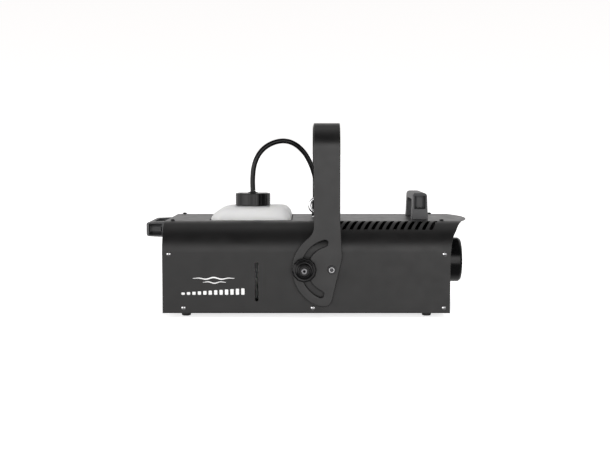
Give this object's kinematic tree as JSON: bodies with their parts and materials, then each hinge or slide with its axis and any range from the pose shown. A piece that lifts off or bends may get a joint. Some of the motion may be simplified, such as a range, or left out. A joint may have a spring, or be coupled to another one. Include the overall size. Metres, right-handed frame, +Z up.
{
  "type": "fog machine",
  "caption": "Stage fog machine in a folded sheet-steel case with a fluid bottle, carry handles, nozzle ring and tilting hanging yoke.",
  "frame": {"origin": "on the ground under the middle of the machine's bounding box, with the yoke upright", "axes": "+X forward, the way the fog leaves; +Y left; +Z up"},
  "size_m": [0.4688, 0.286, 0.271],
  "materials": {
    "casing_paint": "fine-textured black-grey powder coat, satin",
    "bracket_paint": "smoother black-grey powder coat, satin",
    "moulded_plastic": "dark grey moulded plastic with a fine grain",
    "black_plastic": "black moulded plastic, semi-gloss",
    "rubber": "matt black rubber",
    "hose_black": "smooth glossy black tubing",
    "bottle_white": "translucent milky polyethylene, satin",
    "neck_ring_grey": "grey translucent plastic",
    "screw_black": "black oxide steel, glossy",
    "zinc_plate": "bright zinc plate",
    "steel": "plain steel",
    "brass": "machined brass",
    "aluminium": "cast aluminium",
    "insulation": "ceramic wool wrap",
    "nylon": "natural nylon",
    "board_green": "green circuit board"
  },
  "bodies": {
    "root": {"base_tray": "casing_paint", "cover_shell": "casing_paint", "front_panel": "casing_paint", "rear_panel": "casing_paint", "tank_bay": "casing_paint", "top_handle": "moulded_plastic", "rear_handle": "moulded_plastic", "nozzle_ring": "black_plastic", "hose_inlet_fitting": "black_plastic", "mains_inlet": "black_plastic", "power_switch_frame": "black_plastic", "remote_socket": "black_plastic", "cap_grommet": "rubber", "foot_rear_left": "rubber", "foot_rear_right": "rubber", "foot_front_left": "rubber", "foot_front_right": "rubber", "fluid_hose": "hose_black", "fluid_bottle": "bottle_white", "neck_ring": "neck_ring_grey", "side_screw_left_1": "screw_black", "side_screw_left_2": "screw_black", "side_screw_left_3": "screw_black", "side_screw_left_4": "screw_black", "side_screw_left_5": "screw_black", "side_screw_right_1": "screw_black", "side_screw_right_2": "screw_black", "side_screw_right_3": "screw_black", "side_screw_right_4": "screw_black", "side_screw_right_5": "screw_black", "top_screw_1": "screw_black", "top_screw_2": "screw_black", "top_screw_3": "screw_black", "top_screw_4": "screw_black", "pivot_washer_left": "screw_black", "pivot_washer_right": "screw_black", "pivot_screw_left": "screw_black", "pivot_screw_right": "screw_black", "eye_bolt": "zinc_plate", "eye_bolt_nut": "zinc_plate", "thermostat": "steel", "pump": "steel", "nozzle": "brass", "pump_outlet_line": "brass", "heater_block": "aluminium", "heater_insulation": "insulation", "pickup_tube": "nylon", "pickup_filter": "nylon", "pump_inlet_line": "nylon", "pivot_spacer_left": "nylon", "pivot_spacer_right": "nylon", "control_board": "board_green"},
    "yoke": {"yoke": "bracket_paint"},
    "knob_left": {"clamp_knob_left": "black_plastic", "knob_screw_left": "zinc_plate"},
    "knob_right": {"clamp_knob_right": "black_plastic", "knob_screw_right": "zinc_plate"},
    "cap": {"bottle_cap": "black_plastic"},
    "rocker": {"power_rocker": "black_plastic"},
    "fuse_drawer": {"fuse_drawer": "black_plastic"}
  },
  "joints": [
    {"name": "yoke_tilt", "type": "hinge", "parent": "root", "child": "yoke", "pos_m": [0.0332, 0, 0.068], "axis": [0, 1, 0], "range_deg": [-60, 60]},
    {"name": "knob_left_turn", "type": "hinge", "parent": "root", "child": "knob_left", "pos_m": [-0.0046, 0.121, 0.068], "axis": [0, 1, 0], "range_deg": [0, 270]},
    {"name": "knob_right_turn", "type": "hinge", "parent": "root", "child": "knob_right", "pos_m": [-0.0046, -0.121, 0.068], "axis": [0, -1, 0], "range_deg": [0, 270]},
    {"name": "cap_turn", "type": "hinge", "parent": "root", "child": "cap", "pos_m": [-0.0813, 0, 0.16], "axis": [0, 0, 1], "range_deg": [0, 270]},
    {"name": "rocker_tilt", "type": "hinge", "parent": "root", "child": "rocker", "pos_m": [-0.1924, -0.014, 0.05], "axis": [0, 1, 0], "range_deg": [0, 24]},
    {"name": "fuse_drawer_slide", "type": "slide", "parent": "root", "child": "fuse_drawer", "axis": [-1, 0, 0], "range_m": [0, 0.016]}
  ]
}
